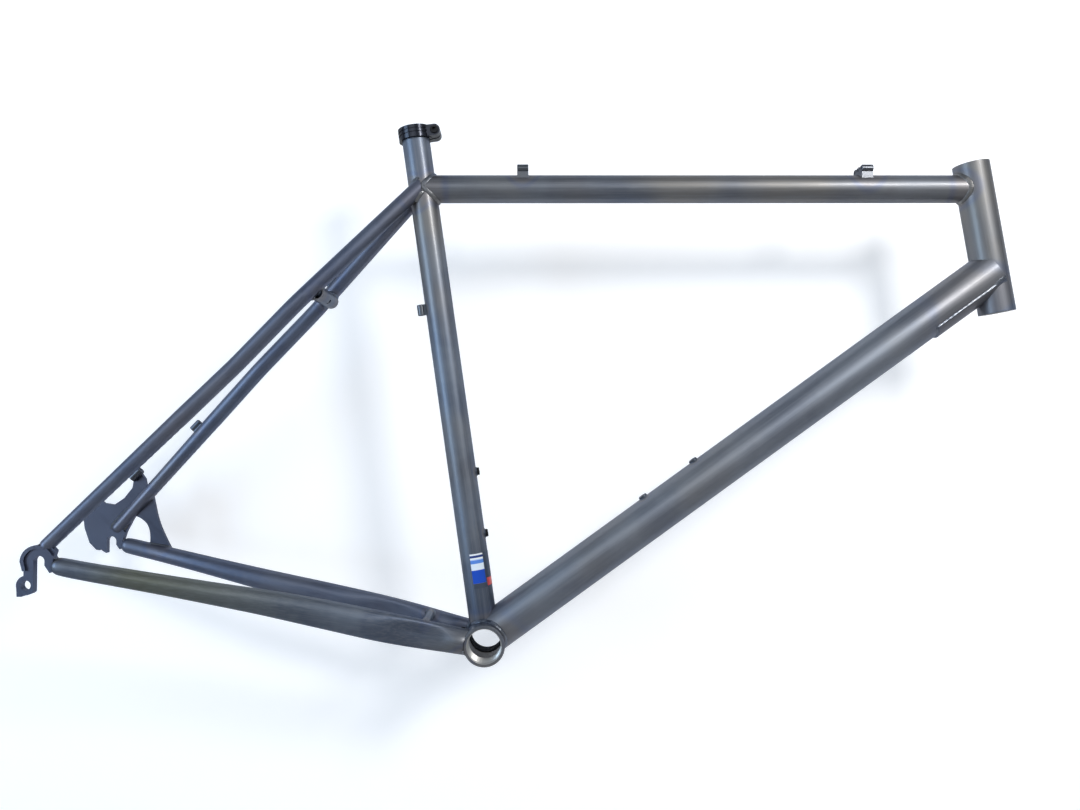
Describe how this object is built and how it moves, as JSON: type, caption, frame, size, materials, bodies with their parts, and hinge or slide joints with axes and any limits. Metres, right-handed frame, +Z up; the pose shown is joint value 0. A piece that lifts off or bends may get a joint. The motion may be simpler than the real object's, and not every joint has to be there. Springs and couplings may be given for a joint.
{
  "type": "bicycle frame",
  "caption": "Bare steel mountain-bike frame: welded tubes and stays, disc brake tab, derailleur hanger, cable stops, bottle bosses and a bolted seat clamp.",
  "frame": {"origin": "centre of the bottom bracket shell, on the frame's middle plane", "axes": "+X forward, +Y to the rider's left along the bottom bracket axis, +Z up, with the bicycle standing on level ground"},
  "size_m": [0.9527, 0.1574, 0.5912],
  "materials": {
    "tube_steel": "gloss",
    "plate_steel": "gloss",
    "fitting_steel": "gloss",
    "black_alloy": "satin",
    "black_steel": "satin",
    "sticker": "gloss"
  },
  "bodies": {
    "frame": {"head_tube": "tube_steel", "top_tube": "tube_steel", "down_tube": "tube_steel", "seat_tube": "tube_steel", "bottom_bracket_shell": "tube_steel", "head_gusset": "tube_steel", "left_seatstay": "tube_steel", "right_seatstay": "tube_steel", "left_chainstay": "tube_steel", "right_chainstay": "tube_steel", "seatstay_bridge": "tube_steel", "chainstay_bridge": "tube_steel", "left_dropout": "plate_steel", "right_dropout": "plate_steel", "disc_brace": "plate_steel", "top_tube_cable_stops_rear": "fitting_steel", "top_tube_cable_stops_front": "fitting_steel", "seat_tube_cable_stop": "fitting_steel", "seatstay_cable_stop": "fitting_steel", "seatstay_cable_guide_upper": "fitting_steel", "seatstay_cable_guide_lower": "fitting_steel", "disc_tab_cable_stop": "fitting_steel", "seat_tube_boss_lower": "fitting_steel", "seat_tube_boss_upper": "fitting_steel", "down_tube_boss_lower": "fitting_steel", "down_tube_boss_upper": "fitting_steel", "tubing_sticker": "sticker"},
    "seat_clamp": {"seat_clamp_collar": "black_alloy"},
    "clamp_bolt": {"seat_clamp_bolt": "black_steel"},
    "bottle_screw_lower": {"bottle_screw_lower": "black_steel"},
    "bottle_screw_upper": {"bottle_screw_upper": "black_steel"}
  },
  "joints": [
    {"name": "seat_clamp_slide", "type": "slide", "parent": "frame", "child": "seat_clamp", "axis": [-0.294, 0, 0.9558], "range_m": [0, 0.04]},
    {"name": "clamp_bolt_turn", "type": "hinge", "parent": "seat_clamp", "child": "clamp_bolt", "pos_m": [-0.13443, 0, 0.5084], "axis": [0, 1, 0], "continuous": true},
    {"name": "bottle_screw_lower_turn", "type": "hinge", "parent": "frame", "child": "bottle_screw_lower", "pos_m": [-0.01693, 0, 0.10674], "axis": [0.9558, 0, 0.294], "continuous": true},
    {"name": "bottle_screw_upper_turn", "type": "hinge", "parent": "frame", "child": "bottle_screw_upper", "pos_m": [-0.03575, 0, 0.16791], "axis": [0.9558, 0, 0.294], "continuous": true}
  ]
}
